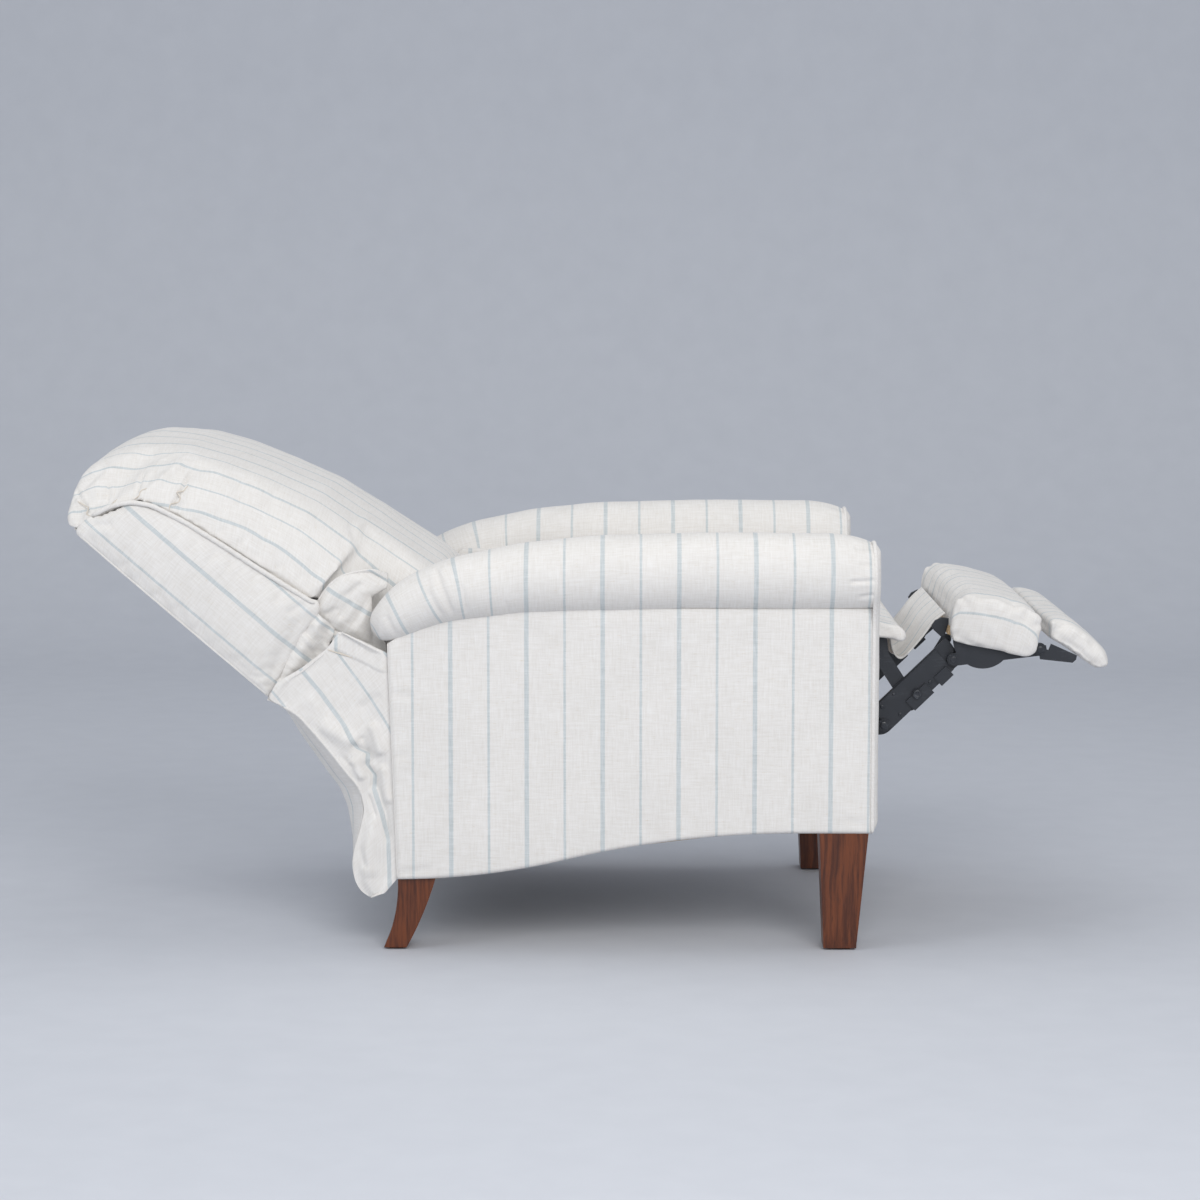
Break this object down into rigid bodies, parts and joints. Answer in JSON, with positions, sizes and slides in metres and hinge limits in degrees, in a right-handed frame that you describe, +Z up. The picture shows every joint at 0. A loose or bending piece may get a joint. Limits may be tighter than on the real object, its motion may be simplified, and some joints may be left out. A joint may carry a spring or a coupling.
{
  "type": "recliner",
  "caption": "Reclining armchair with rolled arms, a tilting back, tapered wooden legs and a folding two-stage footrest on a steel linkage, shown fully reclined.",
  "frame": {"origin": "on the floor under the middle of the reclined chair's outline", "axes": "+X the way the sitter faces, +Y the sitter's left, +Z up"},
  "size_m": [1.612, 0.7726, 0.7757],
  "materials": {
    "cover_fabric": "woven linen look, cream with thin pale blue-grey stripes",
    "lining_cloth": "plain woven lining",
    "webbing": "woven jute strap",
    "leg_wood": "reddish brown stain, satin",
    "frame_wood": "plain sawn",
    "mechanism_steel": "dark charcoal, satin",
    "glide_plastic": "moulded"
  },
  "bodies": {
    "root": {"arm_roll_left": "cover_fabric", "arm_roll_right": "cover_fabric", "arm_outer_panel_left": "cover_fabric", "arm_outer_panel_right": "cover_fabric", "arm_inner_panel_left": "cover_fabric", "arm_inner_panel_right": "cover_fabric", "arm_facing_left": "cover_fabric", "arm_facing_right": "cover_fabric", "arm_frame_left": "frame_wood", "arm_frame_right": "frame_wood", "leg_blocks_left": "frame_wood", "leg_blocks_right": "frame_wood", "arm_board_left": "frame_wood", "arm_board_right": "frame_wood", "front_cross_rail": "frame_wood", "rear_cross_rail": "frame_wood", "dust_cover": "lining_cloth", "front_leg_left": "leg_wood", "front_leg_right": "leg_wood", "rear_leg_left": "leg_wood", "rear_leg_right": "leg_wood", "hanger_bolts": "mechanism_steel", "leg_glides": "glide_plastic", "seat_tracks": "mechanism_steel", "back_pivot_pins": "mechanism_steel", "drop_cloth": "cover_fabric", "drop_gussets": "cover_fabric"},
    "seat": {"seat_cushion": "cover_fabric", "seat_frame": "frame_wood", "seat_webbing": "webbing", "seat_runners": "mechanism_steel", "gap_flap": "cover_fabric", "side_plate_left": "mechanism_steel", "side_plate_right": "mechanism_steel"},
    "swing_links": {"swing_link_left": "mechanism_steel", "swing_link_right": "mechanism_steel"},
    "drive_links": {"drive_link_left": "mechanism_steel", "drive_link_right": "mechanism_steel"},
    "lift_bars": {"lift_bar_left": "mechanism_steel", "lift_bar_right": "mechanism_steel", "cross_tube": "mechanism_steel"},
    "footrest": {"footrest_pad": "cover_fabric", "footrest_board": "frame_wood", "footrest_bracket_left": "mechanism_steel", "footrest_bracket_right": "mechanism_steel"},
    "control_links": {"control_link_left": "mechanism_steel", "control_link_right": "mechanism_steel"},
    "extension": {"extension_pad": "cover_fabric", "extension_board": "frame_wood", "extension_brackets": "mechanism_steel"},
    "back": {"back_cushion": "cover_fabric", "outside_back": "cover_fabric", "back_frame": "frame_wood", "back_webbing": "webbing", "back_side_panel_left": "cover_fabric", "back_side_panel_right": "cover_fabric", "back_bracket_left": "mechanism_steel", "back_bracket_right": "mechanism_steel", "side_tail_left": "cover_fabric", "side_tail_right": "cover_fabric"}
  },
  "joints": [
    {"name": "back_tilt", "type": "hinge", "parent": "root", "child": "back", "pos_m": [-0.166, 0, 0.33], "axis": [0, 1, 0], "range_deg": [0, 36], "deforming": ["drop_cloth", "drop_gussets", "side_tail_left", "side_tail_right"]},
    {"name": "seat_slide", "type": "slide", "parent": "root", "child": "seat", "axis": [0.9977, 0, 0.068], "range_m": [-0.0602, 0]},
    {"name": "footrest_fold", "type": "hinge", "parent": "seat", "child": "swing_links", "pos_m": [0.432, 0, 0.47], "axis": [0, 1, 0], "range_deg": [0, 78.1], "deforming": ["gap_flap"]},
    {"name": "drive_turn", "type": "hinge", "parent": "seat", "child": "drive_links", "pos_m": [0.3809, 0, 0.4153], "axis": [0, 1, 0], "range_deg": [0, 79.45]},
    {"name": "lift_turn", "type": "hinge", "parent": "swing_links", "child": "lift_bars", "pos_m": [0.515, 0, 0.382], "axis": [0, 1, 0], "range_deg": [-81.85, 0]},
    {"name": "footrest_turn", "type": "hinge", "parent": "lift_bars", "child": "footrest", "pos_m": [0.5707, 0, 0.4366], "axis": [0, 1, 0], "range_deg": [0, 79.75]},
    {"name": "control_turn", "type": "hinge", "parent": "footrest", "child": "control_links", "pos_m": [0.5397, 0, 0.4288], "axis": [0, 1, 0], "range_deg": [-80.05, 0]},
    {"name": "extension_turn", "type": "hinge", "parent": "footrest", "child": "extension", "pos_m": [0.704, 0, 0.453], "axis": [0, 1, 0], "range_deg": [0, 25.05]}
  ],
  "couplings": [
    {"joint": "seat_slide", "follows": "back_tilt", "m_per_rad": -0.095493},
    {"joint": "drive_turn", "follows": "footrest_fold", "ratio": 1.0166},
    {"joint": "lift_turn", "follows": "footrest_fold", "ratio": -1.0474},
    {"joint": "footrest_turn", "follows": "footrest_fold", "ratio": 1.0205},
    {"joint": "control_turn", "follows": "footrest_fold", "ratio": -1.0243},
    {"joint": "extension_turn", "follows": "footrest_fold", "ratio": 0.3201}
  ]
}
